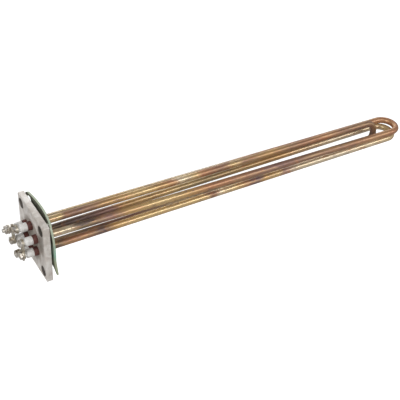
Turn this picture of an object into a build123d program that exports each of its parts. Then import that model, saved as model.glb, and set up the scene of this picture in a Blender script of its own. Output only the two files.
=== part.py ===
from build123d import *
import os
from math import cos, radians, sin, tan

# Booster heating element: three hairpin tubes brazed through a square flange.
# The origin is the centre of the flange's rear face, the one that seals against the tank.
# +X runs along the tubes into the tank, +Z is up, and -Y is the near side.

# Driving dimensions in millimetres
INCH = 25.4
FLANGE_SIDE = 2.5 * INCH
FLANGE_THICK = 0.25 * INCH
FLANGE_BREAK = 0.5
BOLT_PITCH = 1.875 * INCH
BOLT_HOLE = 10.3

TUBE_CIRCLE = 1.125 * INCH
SHEATH_DIA = 7.2
SHEATH_WALL = 0.7
TUBE_CLEARANCE = 0.3
CORE_DIA = 2.6
COIL_WALL = 0.4

UPPER_TIP = 441.8
LOWER_TIP = 437.3
OUTER_BEND = (13.5, 3.72)
MIDDLE_TIP = 413.0
SPREAD_START = 8.0
SPREAD_REACH = 4.0
BEND_LEAD = 14.0
BEND_REACH = 10.0
COLD_LENGTH = 38.0

BRAZE_HEIGHT = 1.3
BRAZE_DIA = 9.8

SHEATH_STUB = 2.9
SEAL_DEPTH = 3.0
SEAL_LENGTH = 4.35
SEAL_DIA = 9.1
INSULATOR_LENGTH = 8.5
INSULATOR_DIA = 8.4
INSULATOR_NOSE = 1.6
NOSE_DIA = 6.2
EDGE_BREAK = 0.4

STUD_DIA = 4.1
STUD_HOLE = 4.3
STUD_LENGTH = 5.8
SUPPLY_STUD = 11.3
SEAT_WASHER = (8.0, 0.8)
LOCK_WASHER = (7.4, 1.0)
LOCK_SLIT = 0.9
CLAMP_WASHER = (11.1, 1.0)
SUPPLY_WASHER = (9.0, 0.8)
NUT_FLATS = 7.0
NUT_TRIM = 0.5
NUT_HEIGHT = 2.4
SUPPLY_NUT_HEIGHT = 3.2
STRAP_WIDTH = 8.2
STRAP_THICK = 0.9

GASKET_WIDTH = 63.5
GASKET_HEIGHT = 63.0
GASKET_SHIFT = (-0.6, 0.4)
GASKET_THICK = 1.9
GASKET_BORE = 40.0
GASKET_BOLT_HOLE = 11.6
GASKET_CORNER = 5.0
TOP_ARCH = 3.9
SIDE_BULGE = 1.3
CORNER_PEEL = 3.9
TORN_CORNER = [(-18, -36), (-18, -25), (-29, -21.5), (-32.6, -27), (-36, -27), (-36, -36)]

# Places along X that follow from the driving dimensions
FRONT = -FLANGE_THICK
SHEATH_END = FRONT - SHEATH_STUB
SEAL_FRONT = FRONT - SEAL_LENGTH
INSULATOR_FRONT = SEAL_FRONT - INSULATOR_LENGTH
STRAP_REAR = INSULATOR_FRONT - SEAT_WASHER[1]
STRAP_FRONT = STRAP_REAR - STRAP_THICK
NUT_REAR = STRAP_FRONT - LOCK_WASHER[1]
NUT_FRONT = NUT_REAR - NUT_HEIGHT


# Where the six legs pass through the flange: one on each corner of a hexagon
def on_circle(angle):
    radius = TUBE_CIRCLE / 2
    return (radius * cos(radians(angle)), radius * sin(radians(angle)))


HOLES = {
    "top": on_circle(90),
    "far_upper": on_circle(30),
    "far_lower": on_circle(-30),
    "bottom": on_circle(-90),
    "near_lower": on_circle(-150),
    "near_upper": on_circle(150),
}


# Each hairpin: its two legs, where they end beside the bend, and how far the bend reaches
def mirrored(place):
    return (-place[0], place[1])


LOWER_BEND = (OUTER_BEND[0], -OUTER_BEND[1])
HAIRPINS = {
    "upper": (("far_upper", "near_upper"), (OUTER_BEND, mirrored(OUTER_BEND)), UPPER_TIP),
    "middle": (("top", "bottom"), (HOLES["top"], HOLES["bottom"]), MIDDLE_TIP),
    "lower": (("far_lower", "near_lower"), (LOWER_BEND, mirrored(LOWER_BEND)), LOWER_TIP),
}


# Centre lines
def point(x, place):
    return Vector(x, place[0], place[1])


def eased_corner(before, corner, after, reach):
    """A shallow arc that takes the place of a corner: its start, its middle and its end."""
    back = (before - corner).normalized()
    on = (after - corner).normalized()
    half_turn = radians(back.get_angle(on) / 2)
    radius = reach * tan(half_turn)
    depth = radius / sin(half_turn) - radius
    middle = corner + (back + on).normalized() * depth
    return corner + back * reach, middle, corner + on * reach


def bend_size(ends, tip):
    """Radius of the bend, its centre, and where along X it starts."""
    across = point(0, ends[0]) - point(0, ends[1])
    radius = across.length / 2
    start = tip - SHEATH_DIA / 2 - radius
    middle = (point(0, ends[0]) + point(0, ends[1])) * 0.5
    return radius, middle + Vector(start, 0, 0), start


def leg_edges(hole, end, bend_start, first, last):
    """Edges of one leg from x = first to x = last, out from the flange."""
    if hole == end:
        return [Line(point(first, hole), point(last, end))]
    corners = [point(SPREAD_START, hole), point(bend_start - BEND_LEAD, end)]
    spread = eased_corner(point(first, hole), corners[0], corners[1], SPREAD_REACH)
    gather = eased_corner(corners[0], corners[1], point(bend_start, end), BEND_REACH)
    run = corners[1] - corners[0]
    if last < corners[1].X:
        stop = corners[0] + run * ((last - corners[0].X) / run.X)
        return [
            Line(point(first, hole), spread[0]),
            ThreePointArc(*spread),
            Line(spread[2], stop),
        ]
    rest = [ThreePointArc(*gather), Line(gather[2], point(bend_start, end))]
    if first > corners[0].X:
        begin = corners[0] + run * ((first - corners[0].X) / run.X)
        return [Line(begin, gather[0])] + rest
    return [
        Line(point(first, hole), spread[0]),
        ThreePointArc(*spread),
        Line(spread[2], gather[0]),
    ] + rest


def hairpin_path(name, first):
    """Centre line of a hairpin, from x = first on one leg round to the same place on the other."""
    legs, ends, tip = HAIRPINS[name]
    radius, centre, start = bend_size(ends, tip)
    out = leg_edges(HOLES[legs[0]], ends[0], start, first, start)
    back = leg_edges(HOLES[legs[1]], ends[1], start, first, start)
    bend = ThreePointArc(point(start, ends[0]), centre + Vector(radius, 0, 0), point(start, ends[1]))
    return Wire(out + [bend] + back)


def pin_path(leg):
    """Centre line of a cold pin, from the insulator's front into the sheath."""
    for legs, ends, tip in HAIRPINS.values():
        if leg in legs:
            start = bend_size(ends, tip)[2]
            end = ends[legs.index(leg)]
            return Wire(leg_edges(HOLES[leg], end, start, INSULATOR_FRONT, COLD_LENGTH))


def along(path, outer, inner=0.0):
    """A round bar or tube of these diameters along a centre line."""
    section = Circle(outer / 2)
    if inner:
        section -= Circle(inner / 2)
    return sweep(Plane(origin=path @ 0, z_dir=path % 0) * section, path=path)


# Turned pieces: profiles are (x, radius) pairs, turned about a line through the leg's hole
def turned_piece(outline, place):
    profile = Plane(origin=point(0, place), x_dir=(1, 0, 0), z_dir=(0, -1, 0)) * outline
    return revolve(profile, axis=Axis(point(0, place), (1, 0, 0)))


def ring(x_rear, x_front, outer, inner, place):
    points = [(x_rear, inner / 2), (x_rear, outer / 2), (x_front, outer / 2), (x_front, inner / 2)]
    return turned_piece(Polygon(*points, align=None), place)


# Flange and gasket
def flange_plate():
    plate = Pos(FRONT / 2, 0, 0) * Box(FLANGE_THICK, FLANGE_SIDE, FLANGE_SIDE)
    plate = chamfer(plate.edges(), FLANGE_BREAK)
    for y in (-BOLT_PITCH / 2, BOLT_PITCH / 2):
        for z in (-BOLT_PITCH / 2, BOLT_PITCH / 2):
            plate -= bore(y, z, BOLT_HOLE)
    for y, z in HOLES.values():
        plate -= bore(y, z, SHEATH_DIA + TUBE_CLEARANCE)
    return plate


def bore(y, z, diameter):
    """A drill along X, long enough to pass the flange and the gasket."""
    return Pos(0, y, z) * Rot(0, 90, 0) * Cylinder(diameter / 2, 4 * FLANGE_THICK)


def gasket_lift(u, v):
    """How far the gasket stands off the flange at u across and v up, each from -1 to 1."""
    towards_top = max(0.0, (v - 0.1) / 0.9)
    arch = TOP_ARCH * max(0.0, 1 - 0.85 * (u - 0.05) ** 2) * towards_top**2
    towards_near = max(0.0, -u)
    bulge = SIDE_BULGE * towards_near**3 * max(0.0, 1 - ((v - 0.3) / 0.6) ** 2)
    towards_corner = max(0.0, (-u - v) / 2)
    peel = CORNER_PEEL * towards_corner**1.6
    return 0.02 + arch + bulge + peel


def flange_gasket():
    """A sheet that has warped off the flange at the top, with its near lower corner torn away."""
    steps = [i / 6 - 1 for i in range(13)]
    rows = []
    for u in steps:
        y = GASKET_SHIFT[0] + u * GASKET_WIDTH / 2
        column = [Vector(gasket_lift(u, v), y, GASKET_SHIFT[1] + v * GASKET_HEIGHT / 2) for v in steps]
        rows.append(column)
    sheet = Face.make_surface_from_array_of_points(rows)
    gasket = extrude(sheet, amount=GASKET_THICK, dir=(1, 0, 0))
    facing = Plane(origin=(0, *GASKET_SHIFT), x_dir=(0, 1, 0), z_dir=(1, 0, 0))
    outline = RectangleRounded(GASKET_WIDTH, GASKET_HEIGHT, GASKET_CORNER)
    gasket &= extrude(facing * outline, amount=4 * FLANGE_THICK, both=True)
    gasket -= bore(0, 0, GASKET_BORE)
    for y in (-BOLT_PITCH / 2, BOLT_PITCH / 2):
        for z in (-BOLT_PITCH / 2, BOLT_PITCH / 2):
            gasket -= bore(y, z, GASKET_BOLT_HOLE)
    torn = Plane(origin=(0, 0, 0), x_dir=(0, 1, 0), z_dir=(1, 0, 0)) * Polygon(*TORN_CORNER, align=None)
    return gasket - extrude(torn, amount=4 * FLANGE_THICK, both=True)


def braze_ring(place):
    """The fillet of braze that joins a sheath to the flange's rear face."""
    half = SHEATH_DIA / 2
    with BuildSketch() as section:
        with BuildLine():
            foot = (0, BRAZE_DIA / 2)
            neck = (BRAZE_HEIGHT, half)
            Line((0, half), foot)
            ThreePointArc(foot, (BRAZE_HEIGHT * 0.33, half + (BRAZE_DIA / 2 - half) * 0.36), neck)
            Line(neck, (0, half))
        make_face()
    return turned_piece(section.sketch, place)


# What each hairpin holds
def sheath(name):
    return along(hairpin_path(name, SHEATH_END), SHEATH_DIA, SHEATH_DIA - 2 * SHEATH_WALL)


def insulation(name):
    """Packed powder between the sheath and what runs through it."""
    path = hairpin_path(name, SHEATH_END + SEAL_DEPTH)
    return along(path, SHEATH_DIA - 2 * SHEATH_WALL, CORE_DIA)


def heating_coil(name):
    """The wound wire, as a tube of the coil's own outer size."""
    return along(hairpin_path(name, COLD_LENGTH), CORE_DIA, CORE_DIA - 2 * COIL_WALL)


# Terminals
def terminal_pin(leg):
    """A cold pin with a stud on its outer end, one piece of steel."""
    length = SUPPLY_STUD if leg == "far_upper" else STUD_LENGTH
    end = INSULATOR_FRONT - length
    half = STUD_DIA / 2
    outline = Polygon(
        (INSULATOR_FRONT, 0), (INSULATOR_FRONT, half), (end + EDGE_BREAK, half),
        (end, half - EDGE_BREAK), (end, 0), align=None,
    )
    return along(pin_path(leg), CORE_DIA) + turned_piece(outline, HOLES[leg])


def end_seal(place):
    """A moulded collar round the sheath's end, with a plug inside its mouth."""
    core = CORE_DIA / 2
    sheath_outer = SHEATH_DIA / 2
    sheath_inner = sheath_outer - SHEATH_WALL
    collar = SEAL_DIA / 2
    plug_end = SHEATH_END + SEAL_DEPTH
    with BuildSketch() as section:
        with BuildLine():
            Polyline((SEAL_FRONT, collar - 0.5), (SEAL_FRONT, core), (plug_end, core), (plug_end, sheath_inner),
                     (SHEATH_END, sheath_inner), (SHEATH_END, sheath_outer), (FRONT, sheath_outer),
                     (FRONT, collar - 0.1))
            ThreePointArc((FRONT, collar - 0.1), ((FRONT + SEAL_FRONT) / 2, collar), (SEAL_FRONT, collar - 0.5))
        make_face()
    return turned_piece(section.sketch, place)


def insulator(place):
    """A ceramic bush with a stepped nose that the terminal washer seats on."""
    bore_half = CORE_DIA / 2 + 0.15
    body = INSULATOR_DIA / 2
    step = INSULATOR_FRONT + INSULATOR_NOSE
    outline = Polygon(
        (SEAL_FRONT, bore_half), (SEAL_FRONT, body - EDGE_BREAK), (SEAL_FRONT - EDGE_BREAK, body),
        (step + EDGE_BREAK, body), (step, body - EDGE_BREAK), (step, NOSE_DIA / 2),
        (INSULATOR_FRONT, NOSE_DIA / 2), (INSULATOR_FRONT, bore_half), align=None,
    )
    return turned_piece(outline, place)


def hex_nut(x_rear, place, angle, height=NUT_HEIGHT):
    """A nut with its corners rounded off at both ends."""
    corner = NUT_FLATS / 3**0.5
    prism = extrude(RegularPolygon(corner, 6, rotation=angle), height)
    slope = NUT_TRIM * 0.6
    blank = Polygon(
        (0, 0), (corner - NUT_TRIM, 0), (corner, slope), (corner, height - slope),
        (corner - NUT_TRIM, height), (0, height), align=None,
    )
    turned_blank = revolve(Plane.XZ * blank, axis=Axis.Z)
    hole = Pos(0, 0, height / 2) * Cylinder(STUD_DIA / 2, 2 * height)
    nut = (prism & turned_blank) - hole
    return Pos(x_rear, place[0], place[1]) * Rot(0, -90, 0) * nut


def lock_washer(place, angle):
    """A split spring washer, flattened under its nut."""
    outer, thick = LOCK_WASHER
    washer = ring(STRAP_FRONT, STRAP_FRONT - thick, outer, STUD_HOLE, place)
    slit = Pos(0, outer / 2, 0) * Box(4 * thick, outer, LOCK_SLIT)
    return washer - Pos(STRAP_FRONT, place[0], place[1]) * Rot(angle, 0, 0) * slit


def jumper(first, corner, last):
    """A flat strap over three studs, with a bend in its plane at the middle one."""
    outline = Sketch()
    for a, b in ((first, corner), (corner, last)):
        middle = (point(0, HOLES[a]) + point(0, HOLES[b])) * 0.5
        run = point(0, HOLES[b]) - point(0, HOLES[a])
        link = Rectangle(run.length, STRAP_WIDTH)
        turn = Vector(0, 1, 0).get_signed_angle(run, Vector(1, 0, 0))
        outline += Pos(middle.Y, middle.Z) * Rot(0, 0, turn) * link
    for name in (first, corner, last):
        outline += Pos(*HOLES[name]) * Circle(STRAP_WIDTH / 2)
    for name in (first, corner, last):
        outline -= Pos(*HOLES[name]) * Circle(STUD_HOLE / 2)
    facing = Plane(origin=(STRAP_REAR, 0, 0), x_dir=(0, 1, 0), z_dir=(1, 0, 0))
    return extrude(facing * outline, amount=-STRAP_THICK)


# All nodes, each as the list of its separate solids
def all_nodes():
    nodes = {"flange_plate": [flange_plate()], "flange_gasket": [flange_gasket()]}
    nodes["braze_rings"] = [braze_ring(place) for place in HOLES.values()]
    for name in HAIRPINS:
        nodes[f"{name}_sheath"] = [sheath(name)]
        nodes[f"{name}_insulation"] = [insulation(name)]
        nodes[f"{name}_coil"] = [heating_coil(name)]
    for leg, place in HOLES.items():
        nodes[f"{leg}_pin"] = [terminal_pin(leg)]
        nodes[f"{leg}_seal"] = [end_seal(place)]
        nodes[f"{leg}_insulator"] = [insulator(place)]
    nodes["far_jumper"] = [jumper("top", "far_upper", "far_lower")]
    nodes["near_jumper"] = [jumper("near_upper", "near_lower", "bottom")]
    nodes.update(fasteners())
    return nodes


def fasteners():
    """Washers and nuts, with the far supply stud's second nut in a node of its own."""
    outer, thick = SEAT_WASHER
    seats = [ring(INSULATOR_FRONT, STRAP_REAR, outer, STUD_HOLE, place) for place in HOLES.values()]
    locks = [lock_washer(HOLES[leg], 40 + 70 * i) for i, leg in enumerate(HOLES) if leg != "near_lower"]
    nuts = [hex_nut(NUT_REAR, place, 11 + 23 * i) for i, place in enumerate(HOLES.values())]
    wide, thick = CLAMP_WASHER
    outer, thin = SUPPLY_WASHER
    clamps = [
        ring(NUT_FRONT, NUT_FRONT - thin, outer, STUD_HOLE, HOLES["far_upper"]),
        ring(STRAP_FRONT, STRAP_FRONT - thick, wide, STUD_HOLE, HOLES["near_lower"]),
    ]
    supply = hex_nut(NUT_FRONT - thin, HOLES["far_upper"], 47, SUPPLY_NUT_HEIGHT)
    return {
        "seat_washers": seats,
        "lock_washers": locks,
        "jumper_nuts": nuts,
        "clamp_washers": clamps,
        "supply_nut": [supply],
    }


os.makedirs("parts", exist_ok=True)
for node, solids in all_nodes().items():
    shape = solids[0] if len(solids) == 1 else Compound(children=solids)
    shape.label = node
    export_step(shape, f"parts/{node}.step")
    print(node, len(shape.solids()), round(shape.volume, 1))
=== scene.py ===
# %% [markdown]
# Booster heating element.
# Three hairpin tubes pass through a square steel flange. Each tube end carries a ceramic bush and a stud.
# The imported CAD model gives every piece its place. This script gives the pieces their finish and fine detail.

# %% Load the frame
from math import cos, pi, radians, sin, tan

import bmesh
import bpy
from mathutils import Matrix, Vector


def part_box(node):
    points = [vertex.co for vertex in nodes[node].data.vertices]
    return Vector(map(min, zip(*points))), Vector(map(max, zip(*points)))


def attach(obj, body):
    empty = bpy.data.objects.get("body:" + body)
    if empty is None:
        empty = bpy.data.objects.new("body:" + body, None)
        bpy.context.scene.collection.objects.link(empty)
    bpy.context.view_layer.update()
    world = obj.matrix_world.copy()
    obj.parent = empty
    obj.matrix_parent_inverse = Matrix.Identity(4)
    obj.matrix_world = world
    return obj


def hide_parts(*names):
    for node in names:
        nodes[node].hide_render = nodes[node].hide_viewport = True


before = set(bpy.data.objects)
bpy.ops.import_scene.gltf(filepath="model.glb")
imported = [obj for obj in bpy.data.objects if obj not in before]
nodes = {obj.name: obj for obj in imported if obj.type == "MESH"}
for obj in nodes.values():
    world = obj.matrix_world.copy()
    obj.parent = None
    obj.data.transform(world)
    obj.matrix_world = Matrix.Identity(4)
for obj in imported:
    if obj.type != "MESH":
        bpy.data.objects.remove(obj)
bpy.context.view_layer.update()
MM = 0.001

# %% [markdown]
# Shader maths reads best as plain sums. One small class wraps a socket, so that an expression
# such as 1 - mask * 0.5 adds the Math nodes by itself. Every other node comes from one method.

# %% A socket that can be added and multiplied
class Wire:
    """One output socket of a finish, usable in sums."""

    def __init__(self, finish, socket):
        self.finish = finish
        self.socket = socket

    def maths(self, operation, first, second):
        return self.finish.node("ShaderNodeMath", {"operation": operation}, {0: first, 1: second})

    def __add__(self, other):
        return self.maths("ADD", self, other)

    def __radd__(self, other):
        return self.maths("ADD", other, self)

    def __sub__(self, other):
        return self.maths("SUBTRACT", self, other)

    def __rsub__(self, other):
        return self.maths("SUBTRACT", other, self)

    def __mul__(self, other):
        return self.maths("MULTIPLY", self, other)

    def __rmul__(self, other):
        return self.maths("MULTIPLY", other, self)

    def __pow__(self, other):
        return self.maths("POWER", self, other)


# %% A finish, and the ways to build one
class Finish:
    """A material that is put together node by node."""

    def __init__(self, name):
        self.material = bpy.data.materials.new(name)
        self.material.use_nodes = True
        self.tree = self.material.node_tree
        self.tree.nodes.clear()

    def node(self, kind, settings=None, inputs=None, output=0):
        made = self.tree.nodes.new(kind)
        for key, value in (settings or {}).items():
            if key == "stops":
                self.fill_ramp(made.color_ramp, value)
            else:
                setattr(made, key, value)
        for key, value in (inputs or {}).items():
            self.feed(made.inputs[key], value)
        return Wire(self, made.outputs[output])

    def feed(self, socket, value):
        if isinstance(value, Wire):
            self.tree.links.new(value.socket, socket)
        elif isinstance(value, tuple) and len(value) == 3 and socket.type == "RGBA":
            socket.default_value = (*value, 1.0)
        else:
            socket.default_value = value

    def fill_ramp(self, ramp, stops):
        while len(ramp.elements) > len(stops):
            ramp.elements.remove(ramp.elements[-1])
        while len(ramp.elements) < len(stops):
            ramp.elements.new(1.0)
        for element, (place, value) in zip(ramp.elements, stops):
            element.position = place
            element.color = (*value, 1.0) if isinstance(value, tuple) else (value, value, value, 1.0)

    def coordinates(self, attribute=None):
        if attribute:
            return self.node("ShaderNodeAttribute", {"attribute_name": attribute}, output="Vector")
        return self.node("ShaderNodeTexCoord", output="Object")

    def stretched(self, vector, scale=(1, 1, 1), shift=(0, 0, 0)):
        return self.node("ShaderNodeMapping", inputs={"Vector": vector, "Scale": scale, "Location": shift})

    def noise(self, vector, scale, detail=3.0, roughness=0.55, distortion=0.0):
        values = {"Vector": vector, "Scale": scale, "Detail": detail, "Roughness": roughness, "Distortion": distortion}
        return self.node("ShaderNodeTexNoise", inputs=values, output="Fac")

    def remap(self, value, low, high, to_low=0.0, to_high=1.0):
        values = {"Value": value, "From Min": low, "From Max": high, "To Min": to_low, "To Max": to_high}
        return self.node("ShaderNodeMapRange", {"clamp": True, "interpolation_type": "SMOOTHSTEP"}, values)

    def ramp(self, value, stops):
        return self.node("ShaderNodeValToRGB", {"stops": stops}, {"Fac": value}, "Color")

    def mix(self, factor, first, second, blend="MIX"):
        settings = {"data_type": "RGBA", "blend_type": blend}
        return self.node("ShaderNodeMix", settings, {0: factor, 6: first, 7: second}, 2)

    def part_of(self, vector, axis):
        return self.node("ShaderNodeSeparateXYZ", inputs={"Vector": vector}, output=axis)

    def distance(self, vector, centre):
        """How far a point is from a line along X through this (y, z)."""
        offset = self.node("ShaderNodeVectorMath", {"operation": "SUBTRACT"}, {0: vector, 1: (0, *centre)}, "Vector")
        flat = self.node("ShaderNodeVectorMath", {"operation": "MULTIPLY"}, {0: offset, 1: (0, 1, 1)}, "Vector")
        return self.node("ShaderNodeVectorMath", {"operation": "LENGTH"}, {0: flat}, "Value")

    def bump(self, height, distance, strength=1.0, under=None):
        values = {"Height": height, "Distance": distance, "Strength": strength}
        if under is not None:
            values["Normal"] = under
        return self.node("ShaderNodeBump", inputs=values, output="Normal")

    def surface(self, **sockets):
        shader = self.tree.nodes.new("ShaderNodeBsdfPrincipled")
        for key, value in sockets.items():
            self.feed(shader.inputs[key.replace("_", " ")], value)
        output = self.tree.nodes.new("ShaderNodeOutputMaterial")
        self.tree.links.new(shader.outputs[0], output.inputs[0])
        print("finish:", self.material.name, len(self.tree.nodes), "nodes")
        return self.material


# %% [markdown]
# The places of the six tube ends are measured from the CAD seals, so that stains, threads and
# heat tints sit round the right holes.

# %% Where the six tube ends stand
LEGS = ("top", "far_upper", "far_lower", "bottom", "near_lower", "near_upper")


def middle_of(node):
    low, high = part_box(node)
    return (low + high) / 2


leg_places = {leg: middle_of(f"{leg}_seal").yz for leg in LEGS}
plate_low, plate_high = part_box("flange_plate")
print({leg: (round(p[0] / MM, 2), round(p[1] / MM, 2)) for leg, p in leg_places.items()})

# %% [markdown]
# The flange is flat bar, sheared and lightly ground. Its finish is warm pale steel with fine
# grinding lines, cloudy handling marks, and a cloudy darker zone round the terminals. Beside the
# terminals a painted reflection of them darkens the face, and the bolt holes carry painted shade.

# %% The flange's steel
BOLT_PLACES = [(y * 23.8125 * MM, z * 23.8125 * MM) for y in (-1, 1) for z in (-1, 1)]


def flange_finish():
    finish = Finish("ground_flange_steel")
    place = finish.coordinates()
    lines = finish.noise(finish.stretched(place, (2600, 900, 60)), 1.0, 4.0, 0.6)
    clouds = finish.noise(place, 90.0, 5.0, 0.62, 0.4)
    specks = finish.noise(place, 900.0, 3.0, 0.7)
    # A cloudy darker, rougher zone round the terminals, out to about 18 to 24 mm from the tube bundle's centre.
    reach = finish.distance(place, (0.0, 0.0))
    ragged = reach + (clouds - 0.5) * 0.010
    darker_round_terminals = finish.remap(ragged, 0.0180, 0.0245, 1.0, 0.0)
    pale = finish.mix(finish.remap(clouds, 0.35, 0.65), (0.62, 0.565, 0.51), (0.86, 0.83, 0.79))
    pale = finish.mix(finish.remap(lines, 0.30, 0.50, 0.35, 0.0), pale, (0.46, 0.40, 0.34))
    marked = finish.mix(finish.remap(specks, 0.60, 0.78, 0.0, 0.55), pale, (0.42, 0.34, 0.27))
    darkened_round_terminals = finish.mix(darker_round_terminals * finish.remap(clouds, 0.30, 0.62, 0.25, 0.8), marked, (0.24, 0.20, 0.155))
    # Painted reflection: a soft dark patch beside the terminals, drawn out up and down, stands for the terminals
    # mirrored in the steel.
    reflection_distance = finish.distance(finish.stretched(place, (1, 1, 0.42)), (-0.0235, 0.0055)) + (clouds - 0.5) * 0.008
    colour = finish.mix(finish.remap(reflection_distance, 0.0030, 0.0085, 0.72, 0.0), darkened_round_terminals, (0.20, 0.18, 0.15))
    # Painted shade: the bores of the four bolt holes and a thin rim round them are painted nearly black.
    for y, z in BOLT_PLACES:
        hole_shade = finish.remap(finish.distance(place, (y, z)), 0.00505, 0.0056, 1.0, 0.0)
        colour = finish.mix(hole_shade * 0.92, colour, (0.055, 0.045, 0.036))
    rough = 0.36 + lines * 0.14 + darker_round_terminals * 0.12
    grain = finish.bump(lines, 0.00006, 0.6)
    relief = finish.bump(clouds * 0.6 + specks * 0.4, 0.00012, 0.5, grain)
    return finish.surface(Base_Color=colour, Metallic=0.4, Roughness=rough, Normal=relief)


# %% [markdown]
# The gasket is a pale green-grey fibre sheet, old, dry and dusty all over. Its face towards the
# flange is painted dark as painted shade, and the sheet is painted lighter towards its top as painted light.

# %% The gasket's sheet
def gasket_finish():
    finish = Finish("dried_fibre_gasket")
    place = finish.coordinates()
    fibres = finish.noise(finish.stretched(place, (500, 2400, 1500)), 1.0, 5.0, 0.65)
    clouds = finish.noise(place, 130.0, 4.0, 0.6, 0.6)
    height = finish.part_of(place, "Z")
    facing = finish.part_of(finish.node("ShaderNodeNewGeometry", output="Normal"), "X")
    # Painted shade: faces turned towards the flange are painted near black, more strongly towards the top.
    flange_side_shade = finish.remap(facing, -0.75, -0.35, 1.0, 0.0)
    # Painted light: this height mask paints the sheet paler towards its top, and it also strengthens the painted shade
    # higher up.
    upper = finish.remap(height, -0.004, 0.016)
    green = finish.mix(finish.remap(clouds, 0.35, 0.68), (0.17, 0.37, 0.28), (0.34, 0.54, 0.43))
    tail = finish.mix(finish.remap(height, -0.012, 0.0, 1.0, 0.0), green, (0.34, 0.37, 0.25))
    painted_lit_top = finish.mix(upper, tail, finish.mix(clouds, (0.34, 0.42, 0.31), (0.60, 0.64, 0.50)))
    soiled = finish.mix(finish.remap(fibres, 0.52, 0.80, 0.0, 0.6), painted_lit_top, (0.20, 0.25, 0.20))
    # The near-black tone of that painted shade.
    face = finish.mix(finish.remap(clouds, 0.30, 0.70), (0.045, 0.04, 0.028), (0.14, 0.14, 0.10))
    colour = finish.mix(flange_side_shade * (0.35 + upper * 0.6), soiled, face)
    relief = finish.bump(fibres * 0.7 + clouds * 0.3, 0.00025, 0.7)
    return finish.surface(Base_Color=colour, Roughness=0.82 - clouds * 0.15, Normal=relief)


# %% [markdown]
# The end seals are moulded resin, a dark red-brown with a dull waxy surface.
# The bushes are unglazed ceramic: white, slightly cloudy, with grey rub marks from the hardware.

# %% The resin seals and the ceramic bushes
def seal_finish():
    finish = Finish("red_brown_resin")
    place = finish.coordinates()
    mottle = finish.noise(place, 520.0, 4.0, 0.65, 0.8)
    colour = finish.ramp(mottle, [(0.30, (0.035, 0.012, 0.010)), (0.55, (0.115, 0.034, 0.026)), (0.78, (0.23, 0.085, 0.06))])
    relief = finish.bump(mottle, 0.00025, 0.6)
    return finish.surface(Base_Color=colour, Roughness=0.38 + mottle * 0.25, Normal=relief)


def ceramic_finish():
    finish = Finish("unglazed_ceramic")
    place = finish.coordinates()
    clouds = finish.noise(place, 260.0, 4.0, 0.6, 0.5)
    rubs = finish.noise(finish.stretched(place, (2400, 420, 420)), 1.0, 4.0, 0.7, 0.3)
    pores = finish.noise(place, 2600.0, 2.0, 0.6)
    pale = finish.mix(finish.remap(clouds, 0.35, 0.66), (0.66, 0.645, 0.615), (0.86, 0.85, 0.83))
    colour = finish.mix(finish.remap(rubs, 0.58, 0.80, 0.0, 0.55), pale, (0.36, 0.34, 0.31))
    relief = finish.bump(pores * 0.5 + clouds * 0.5, 0.00008, 0.6)
    return finish.surface(Base_Color=colour, Roughness=0.45 + clouds * 0.2, Normal=relief)


# %% [markdown]
# The hardware is plated steel. Plating on small parts yellows and darkens in patches, so its
# colour goes from bright nickel to bronze, and its gloss follows.

# %% Plated hardware, in three tones
def plated_finish(name, bright, tarnish, dark, patch_scale, roughness):
    finish = Finish(name)
    place = finish.coordinates()
    patches = finish.noise(place, patch_scale, 4.0, 0.6, 0.7)
    scratches = finish.noise(finish.stretched(place, (900, 5200, 1400)), 1.0, 3.0, 0.6)
    toned = finish.ramp(patches, [(0.26, dark), (0.40, tarnish), (0.52, bright)])
    colour = finish.mix(finish.remap(scratches, 0.60, 0.80, 0.0, 0.4), toned, dark)
    rough = roughness + (1 - patches) * 0.16 + scratches * 0.06
    relief = finish.bump(scratches * 0.6 + patches * 0.4, 0.00003, 0.5)
    return finish.surface(Base_Color=colour, Metallic=0.97, Roughness=rough, Normal=relief)


def braze_finish():
    finish = Finish("flowed_braze")
    place = finish.coordinates()
    flow = finish.noise(place, 420.0, 4.0, 0.6, 1.2)
    colour = finish.ramp(flow, [(0.32, (0.20, 0.13, 0.07)), (0.52, (0.50, 0.38, 0.20)), (0.74, (0.72, 0.62, 0.42))])
    relief = finish.bump(flow, 0.0003, 0.7)
    return finish.surface(Base_Color=colour, Metallic=0.85, Roughness=0.35 + flow * 0.2, Normal=relief)


# %% [markdown]
# The sheaths were annealed in air, which leaves oxide colours that change slowly along each tube.
# Near the flange they are patchy, from cream and straw to umber, and past the middle an even
# copper brown. The cream zones are partly a pale oxide and partly a painted highlight, and the
# umber at the start of the lower hairpin is partly painted shade. The colour reads a "flow"
# attribute, which holds where a point would be if the tube were straight, so that streaks follow
# the bends.

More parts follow.
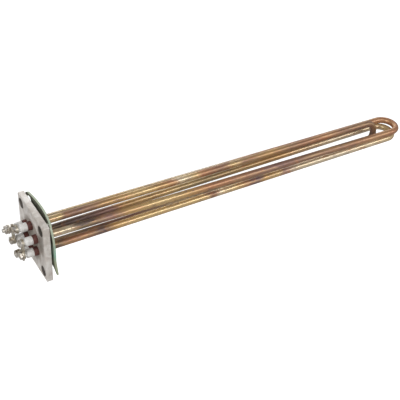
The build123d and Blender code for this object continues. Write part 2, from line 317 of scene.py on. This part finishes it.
# %% Oxide colours of the sheath
# CREAM_AND_HIGHLIGHT is partly a pale oxide tint and partly a painted highlight: its zones sit where bright highlight
# lines run along the tubes.
CREAM_AND_HIGHLIGHT = (0.72, 0.60, 0.42)
STRAW = (0.66, 0.46, 0.20)
GOLD = (0.54, 0.31, 0.10)
COPPER = (0.40, 0.185, 0.085)
BROWN = (0.27, 0.135, 0.075)
MAUVE = (0.30, 0.15, 0.115)
OLIVE = (0.34, 0.26, 0.12)
UMBER_AND_SHADE = (0.075, 0.038, 0.027)
RUST = (0.46, 0.19, 0.075)
VIOLET = (0.17, 0.095, 0.095)
BRUISE_AND_SHADE = (0.13, 0.075, 0.06)
SHEATH_ZONES = {
    "upper": [
        (0, CREAM_AND_HIGHLIGHT), (90, STRAW), (200, CREAM_AND_HIGHLIGHT), (262, COPPER), (330, BROWN), (400, COPPER), (455, RUST), (510, COPPER),
        (600, BROWN), (650, MAUVE), (690, COPPER), (725, RUST), (745, GOLD), (775, STRAW), (815, GOLD), (836, MAUVE),
        (852, UMBER_AND_SHADE), (866, UMBER_AND_SHADE), (874, CREAM_AND_HIGHLIGHT), (890, CREAM_AND_HIGHLIGHT),
    ],
    "middle": [
        (0, CREAM_AND_HIGHLIGHT), (30, STRAW), (36, BROWN), (62, BROWN), (84, GOLD), (120, STRAW), (141, GOLD), (149, RUST),
        (159, CREAM_AND_HIGHLIGHT), (178, STRAW), (186, RUST), (215, BROWN), (226, STRAW), (236, BROWN), (276, GOLD), (302, BROWN),
        (345, RUST), (372, BROWN), (418, BROWN), (430, UMBER_AND_SHADE), (455, UMBER_AND_SHADE), (475, MAUVE), (560, STRAW), (650, CREAM_AND_HIGHLIGHT),
        (700, CREAM_AND_HIGHLIGHT), (745, MAUVE), (790, BROWN), (845, CREAM_AND_HIGHLIGHT),
    ],
    "lower": [
        # The first umber and bruise stops are partly dark oxide and partly painted shade on the far leg, where it lies
        # under the upper tubes near the flange.
        (0, UMBER_AND_SHADE), (38, UMBER_AND_SHADE), (62, BRUISE_AND_SHADE), (88, MAUVE), (100, GOLD), (150, STRAW), (200, OLIVE), (300, GOLD),
        (360, CREAM_AND_HIGHLIGHT), (420, CREAM_AND_HIGHLIGHT), (455, STRAW), (500, CREAM_AND_HIGHLIGHT), (600, CREAM_AND_HIGHLIGHT), (618, MAUVE), (624, STRAW), (644, GOLD),
        (650, VIOLET), (659, VIOLET), (664, COPPER), (680, STRAW), (702, CREAM_AND_HIGHLIGHT), (706, BROWN), (712, BROWN), (716, STRAW),
        (800, STRAW), (820, GOLD), (834, BRUISE_AND_SHADE), (862, RUST), (880, UMBER_AND_SHADE), (892, RUST),
    ],
}


def sheath_finish(name, length):
    finish = Finish(f"oxide_tinted_{name}_sheath")
    flow = finish.coordinates("flow")
    streaks = finish.noise(finish.stretched(flow, (34, 520, 520)), 1.0, 5.0, 0.62, 0.25)
    fine = finish.noise(finish.stretched(flow, (140, 2600, 2600)), 1.0, 3.0, 0.6)
    clouds = finish.noise(finish.stretched(flow, (42, 110, 110)), 1.0, 4.0, 0.6, 0.6)
    patches = finish.noise(finish.stretched(flow, (85, 230, 230)), 1.0, 4.0, 0.65, 0.9)
    specks = finish.noise(finish.stretched(flow, (900, 1100, 1100)), 1.0, 2.0, 0.6)
    along = finish.part_of(flow, "X") * (1 / length) + (clouds - 0.5) * 0.035
    stops = [(min(1.0, place * MM / length), colour) for place, colour in SHEATH_ZONES[name]]
    zones = finish.ramp(along, stops)
    warm = finish.mix(finish.remap(streaks, 0.46, 0.66, 0.0, 0.75), zones, finish.mix(0.65, zones, STRAW))
    cool = finish.mix(finish.remap(streaks, 0.30, 0.46, 0.75, 0.0), warm, finish.mix(0.6, zones, UMBER_AND_SHADE))
    blushed = finish.mix(finish.remap(patches, 0.53, 0.68, 0.0, 0.7), cool, RUST)
    bruised = finish.mix(finish.remap(patches, 0.30, 0.45, 0.7, 0.0), blushed, VIOLET)
    lined = finish.mix(finish.remap(fine, 0.52, 0.70, 0.0, 0.55), bruised, UMBER_AND_SHADE)
    colour = finish.mix(finish.remap(specks, 0.66, 0.76, 0.0, 0.6), lined, UMBER_AND_SHADE)
    paleness = finish.node("ShaderNodeRGBToBW", inputs={"Color": zones})
    rough = 0.40 - finish.remap(paleness, 0.08, 0.50, 0.0, 0.20) + (1 - streaks) * 0.12
    relief = finish.bump(fine * 0.5 + streaks * 0.5, 0.00007, 0.6)
    return finish.surface(Base_Color=colour, Metallic=0.5, IOR=2.2, Roughness=rough, Normal=relief)


# %% [markdown]
# The tubes are rebuilt as smooth skins. A ring of points is pushed along the CAD centre line:
# straight on the runs, and turned a few degrees at a time round each bend. Every new ring
# also stores its flow position.

# %% Push a ring along a path
RING_SIDES = 40


class Tube:
    """A skin that grows ring by ring from its open end."""

    def __init__(self, start, heading, radius):
        self.bm = bmesh.new()
        self.flow = self.bm.verts.layers.float_vector.new("flow")
        turn = heading.to_track_quat("Z", "Y").to_matrix().to_4x4()
        ring = bmesh.ops.create_circle(self.bm, segments=RING_SIDES, radius=radius, matrix=Matrix.Translation(start) @ turn)
        self.edges = list(self.bm.edges)
        self.heading = heading.normalized()
        self.centre = start.copy()
        self.travelled = 0.0
        for i, vert in enumerate(ring["verts"]):
            angle = 2 * pi * i / RING_SIDES
            vert[self.flow] = (0.0, radius * cos(angle), radius * sin(angle))

    def push(self, step):
        grown = bmesh.ops.extrude_edge_only(self.bm, edges=self.edges)["geom"]
        verts = [item for item in grown if isinstance(item, bmesh.types.BMVert)]
        self.edges = [item for item in grown if isinstance(item, bmesh.types.BMEdge)]
        self.travelled += step
        for vert in verts:
            vert[self.flow] = (self.travelled, vert[self.flow][1], vert[self.flow][2])
        return verts

    def straight(self, length, step):
        count = max(1, round(length / step))
        for i in range(count):
            verts = self.push(length / count)
            bmesh.ops.translate(self.bm, verts=verts, vec=self.heading * (length / count))
        self.centre += self.heading * length

    def bend(self, axis, radius, angle, step):
        """Turn about an axis at this radius to the side, step by step."""
        side = axis.cross(self.heading).normalized()
        hub = self.centre + side * radius
        count = max(2, round(abs(angle) / step))
        for i in range(count):
            verts = self.push(radius * abs(angle) / count)
            bmesh.ops.rotate(self.bm, verts=verts, cent=hub, matrix=Matrix.Rotation(angle / count, 3, axis))
        turn = Matrix.Rotation(angle, 3, axis)
        self.centre = hub + turn @ (self.centre - hub)
        self.heading = turn @ self.heading

    def curve_towards(self, target, reach):
        """A shallow bend that starts and ends this far from its corner."""
        angle = self.heading.angle(target)
        if angle < radians(0.01):
            self.straight(2 * reach, reach)
        else:
            axis = self.heading.cross(target).normalized()
            self.bend(axis, reach / tan(angle / 2), angle, radians(0.6))

    def finish_mesh(self, name):
        mesh = bpy.data.meshes.new(name)
        bmesh.ops.recalc_face_normals(self.bm, faces=self.bm.faces)
        for face in self.bm.faces:
            face.smooth = True
        self.bm.to_mesh(mesh)
        self.bm.free()
        piece = bpy.data.objects.new(name, mesh)
        bpy.context.scene.collection.objects.link(piece)
        return piece


# %% [markdown]
# Each hairpin is measured from the CAD box of its sheath, together with where its seals stand.
# The legs start square to the flange, lean very slightly inwards or sideways, run straight,
# and turn round in a half circle.

# %% The three sheaths
SHEATH_RADIUS = 3.6 * MM
SPREAD_START = 8.0 * MM
BEND_LEAD = 14.0 * MM
HAIRPINS = {
    "upper": ("far_upper", "near_upper", (13.5, 3.72), (-13.5, 3.72)),
    "middle": ("top", "bottom", (0, 14.2875), (0, -14.2875)),
    "lower": ("far_lower", "near_lower", (13.5, -3.72), (-13.5, -3.72)),
}


def lay_hairpin(name):
    leg_out, leg_back, end_out, end_back = HAIRPINS[name]
    first = Vector((0, *leg_places[leg_out]))
    last = Vector((0, *leg_places[leg_back]))
    end = Vector((0, *end_out)) * MM
    other = Vector((0, *end_back)) * MM
    radius = (end - other).length / 2
    low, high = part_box(f"{name}_sheath")
    bend_start = high.x - SHEATH_RADIUS - radius
    start_x = low.x
    corners = [Vector((start_x, 0, 0)) + first, Vector((SPREAD_START, 0, 0)) + first]
    corners += [Vector((bend_start - BEND_LEAD, 0, 0)) + end, Vector((bend_start, 0, 0)) + end]
    forward = Vector((1, 0, 0))
    slope = (corners[2] - corners[1]).normalized()
    tube = Tube(corners[0], forward, SHEATH_RADIUS)
    reach = 4.0 * MM
    gather = 10.0 * MM
    tube.straight(SPREAD_START - start_x - reach, 3 * MM)
    tube.curve_towards(slope, reach)
    tube.straight((corners[2] - corners[1]).length - reach - gather, 6 * MM)
    tube.curve_towards(forward, gather)
    tube.straight(BEND_LEAD - gather, 3 * MM)
    tube.bend(forward.cross(other - end).normalized(), radius, pi, radians(5))
    back = Vector((-1, 0, 0))
    slope_back = ((Vector((SPREAD_START, 0, 0)) + last) - (Vector((bend_start - BEND_LEAD, 0, 0)) + other)).normalized()
    tube.straight(BEND_LEAD - gather, 3 * MM)
    tube.curve_towards(slope_back, gather)
    tube.straight((corners[2] - corners[1]).length - reach - gather, 6 * MM)
    tube.curve_towards(back, reach)
    tube.straight(SPREAD_START - start_x - reach, 3 * MM)
    length = tube.travelled
    off_by = (tube.centre - (Vector((start_x, 0, 0)) + last)).length
    print(name, "sheath length", round(length / MM, 1), "mm, ends", round(off_by / MM, 3), "mm from the CAD end")
    piece = tube.finish_mesh(f"{name}_sheath_skin")
    piece.data.materials.append(sheath_finish(name, length))
    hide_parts(f"{name}_sheath")
    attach(piece, "root")
    return piece


sheath_skins = [lay_hairpin(name) for name in HAIRPINS]

# %% [markdown]
# Machined pieces need a small radius on their edges, because that is where they catch the light.
# A copy of the CAD mesh is joined up, its flat faces are merged, and a narrow bevel goes on
# every corner sharper than a set angle.

# %% Copies with softened edges
def softened_copy(node, width, material, segments=2, angle=28):
    bm = bmesh.new()
    bm.from_mesh(nodes[node].data)
    bmesh.ops.remove_doubles(bm, verts=bm.verts, dist=1e-6)
    bmesh.ops.dissolve_limit(bm, angle_limit=radians(1.0), verts=bm.verts, edges=bm.edges)
    sharp = [e for e in bm.edges if len(e.link_faces) == 2 and e.calc_face_angle(0) > radians(angle)]
    bmesh.ops.bevel(bm, geom=sharp, offset=width, segments=segments, profile=0.5, affect="EDGES", clamp_overlap=True, material=-1)
    for face in bm.faces:
        face.smooth = True
    mesh = bpy.data.meshes.new(f"{node}_skin")
    bm.to_mesh(mesh)
    bm.free()
    mesh.set_sharp_from_angle(angle=radians(35))
    piece = bpy.data.objects.new(f"{node}_skin", mesh)
    bpy.context.scene.collection.objects.link(piece)
    piece.data.materials.append(material)
    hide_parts(node)
    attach(piece, "root")
    return piece


# %% Put the finishes on
def dress(node, material):
    mesh = nodes[node].data
    mesh.materials.clear()
    mesh.materials.append(material)


flange_steel = flange_finish()
gasket_sheet = gasket_finish()
resin = seal_finish()
ceramic = ceramic_finish()
braze = braze_finish()
NICKEL = (0.80, 0.77, 0.72)
BRONZE = (0.44, 0.37, 0.29)
SOOT = (0.10, 0.08, 0.06)
nut_plating = plated_finish("nut_plating", NICKEL, BRONZE, SOOT, 300.0, 0.24)
washer_plating = plated_finish("washer_plating", (0.66, 0.62, 0.55), (0.36, 0.29, 0.21), SOOT, 420.0, 0.28)
strap_plating = plated_finish("strap_plating", (0.72, 0.67, 0.56), (0.46, 0.38, 0.27), (0.16, 0.12, 0.09), 240.0, 0.26)
stud_plating = plated_finish("stud_plating", NICKEL, (0.46, 0.38, 0.28), SOOT, 500.0, 0.22)

softened_copy("flange_plate", 0.35 * MM, flange_steel)
dress("flange_gasket", gasket_sheet)
dress("braze_rings", braze)
for leg in LEGS:
    dress(f"{leg}_seal", resin)
    dress(f"{leg}_insulator", ceramic)
    dress(f"{leg}_pin", stud_plating)
for name in ("seat_washers", "lock_washers", "clamp_washers"):
    softened_copy(name, 0.15 * MM, washer_plating)
for name in ("far_jumper", "near_jumper"):
    softened_copy(name, 0.18 * MM, strap_plating)
for name in ("jumper_nuts", "supply_nut"):
    softened_copy(name, 0.2 * MM, nut_plating)
for name in HAIRPINS:
    dress(f"{name}_insulation", ceramic)
    dress(f"{name}_coil", stud_plating)

# %% [markdown]
# The studio is a plain pale room. A white floor and backdrop show to the camera, and the backdrop
# also to transmission rays, while glossy and other rays meet a grey floor and a dimmer room. Large
# soft lamps give the long highlights that metal tubes need.

# %% Floor and light
def lay_floor():
    bm = bmesh.new()
    bmesh.ops.create_grid(bm, x_segments=1, y_segments=1, size=3.0, matrix=Matrix.Translation((0.2, 0, -0.12)))
    mesh = bpy.data.meshes.new("studio_floor")
    bm.to_mesh(mesh)
    bm.free()
    floor = bpy.data.objects.new("studio_floor", mesh)
    bpy.context.scene.collection.objects.link(floor)
    finish = Finish("floor_white")
    seen = finish.node("ShaderNodeLightPath", output="Is Camera Ray")
    tone = finish.mix(seen, (0.50, 0.49, 0.48), (0.92, 0.92, 0.92))
    glow = finish.mix(seen, (0.0, 0.0, 0.0), (1.0, 1.0, 1.0))
    mesh.materials.append(finish.surface(Base_Color=tone, Roughness=0.9, Emission_Color=glow, Emission_Strength=0.45))
    return floor


floor = lay_floor()


def soft_lamp(name, place, target, size, power, tint=(1, 1, 1)):
    lamp = bpy.data.lights.new(name, "AREA")
    lamp.shape = "RECTANGLE"
    lamp.size, lamp.size_y = size
    lamp.energy = power
    lamp.color = tint
    holder = bpy.data.objects.new(name, lamp)
    bpy.context.scene.collection.objects.link(holder)
    holder.location = place
    holder.rotation_euler = (Vector(target) - Vector(place)).to_track_quat("-Z", "Y").to_euler()
    holder.visible_camera = False
    return holder


soft_lamp("front_band", (1.0, -1.3, 0.95), (0.9, 0, 0), (2.2, 0.40), 13.0)
soft_lamp("overhead_left", (-1.1, -0.5, 0.9), (0.0, 0, 0), (0.8, 0.8), 11.0)
soft_lamp("behind", (1.05, 1.4, 0.75), (0.9, 0, 0), (2.2, 0.25), 7.0)

# %% The room's light, darker overhead than at eye level
world = bpy.data.worlds.new("studio")
bpy.context.scene.world = world
world.use_nodes = True


class Room(Finish):
    """The same node building, on the world's own tree."""

    def __init__(self):
        self.material = world
        self.tree = world.node_tree
        self.tree.nodes.clear()


room = Room()
looking = room.node("ShaderNodeTexCoord", output="Generated")
height = room.part_of(looking, "Z") * 0.5 + 0.5
glow = room.ramp(height, [(0.0, 0.35), (0.42, 0.45), (0.52, 0.60), (0.66, 0.45), (0.85, 0.34), (1.0, 0.30)])
seen_directly = room.node("ShaderNodeLightPath", output="Is Camera Ray")
seen_through = room.node("ShaderNodeLightPath", output="Is Transmission Ray")
white_seen = seen_directly.maths("MAXIMUM", seen_directly, seen_through)
colour = room.mix(white_seen, glow, (1.0, 1.0, 1.0))
sky = room.tree.nodes.new("ShaderNodeBackground")
room.feed(sky.inputs["Color"], colour)
room_out = room.tree.nodes.new("ShaderNodeOutputWorld")
room.tree.links.new(sky.outputs[0], room_out.inputs[0])

# %% [markdown]
# The camera stands where the photograph was taken from: in front of the terminals, to the near
# side and above. Its axes come from the flange's corners and holes.

# %% The camera
EYE = Vector((-200.4, -589.1, 507.7)) * MM
RIGHT = Vector((0.86002, -0.50791, 0.04886))
DOWN = Vector((-0.27274, -0.53851, -0.79726))
AHEAD = Vector((0.43125, 0.67233, -0.60166))
FOCAL_PIXELS = 835.1
FRAME_PIXELS = 400

lens = bpy.data.cameras.new("camera")
lens.sensor_width = 36.0
lens.lens = FOCAL_PIXELS / FRAME_PIXELS * lens.sensor_width
lens.shift_x = 0.67 / FRAME_PIXELS
lens.shift_y = 0.2 / FRAME_PIXELS
lens.clip_start = 0.01
camera = bpy.data.objects.new("camera", lens)
bpy.context.scene.collection.objects.link(camera)
axes = Matrix((RIGHT, -DOWN, -AHEAD)).transposed()
camera.matrix_world = Matrix.Translation(EYE) @ axes.to_quaternion().to_matrix().to_4x4()
bpy.context.scene.camera = camera
bpy.context.scene.view_settings.view_transform = "Standard"
